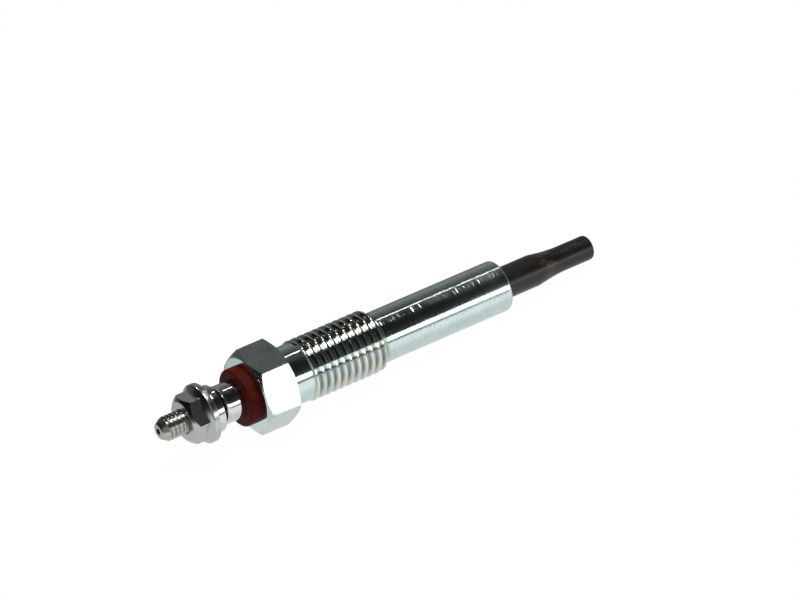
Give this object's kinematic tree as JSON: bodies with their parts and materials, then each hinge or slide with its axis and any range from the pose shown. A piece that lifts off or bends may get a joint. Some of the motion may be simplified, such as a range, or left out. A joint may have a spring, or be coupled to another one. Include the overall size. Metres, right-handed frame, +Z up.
{
  "type": "diesel glow plug",
  "caption": "Metal-sheath diesel glow plug: hexagon body with threaded neck and plain shank, swaged heater tip, insulated terminal stud with flanged nut.",
  "frame": {"origin": "bottom centre of the box, on the surface that the plug lies on", "axes": "+X runs along the plug from its terminal to its tip, +Z up; the axis dips towards the tip, because the plug rests on its hexagon and the rim of its shank"},
  "size_m": [0.0786, 0.0138, 0.0123],
  "materials": {
    "zinc_plated_steel": "bright zinc plate",
    "oxidised_alloy": "dark heat oxide, satin",
    "pressed_powder": "matt pressed powder",
    "coil_wire": "drawn resistance wire",
    "rod_steel": "plated steel, rolled thread",
    "seal_rubber": "moulded rubber",
    "bush_plastic": "moulded red-brown plastic",
    "bright_nickel": "bright plate",
    "nut_steel": "dull zinc plate"
  },
  "bodies": {
    "root": {"housing": "zinc_plated_steel", "glow_tube": "oxidised_alloy", "magnesia_powder": "pressed_powder", "heating_coil": "coil_wire", "control_coil": "coil_wire", "centre_rod": "rod_steel", "tube_seal": "seal_rubber", "o_ring": "seal_rubber", "insulator_bush": "bush_plastic", "terminal_collar": "bright_nickel", "terminal_nut": "nut_steel"}
  },
  "joints": []
}
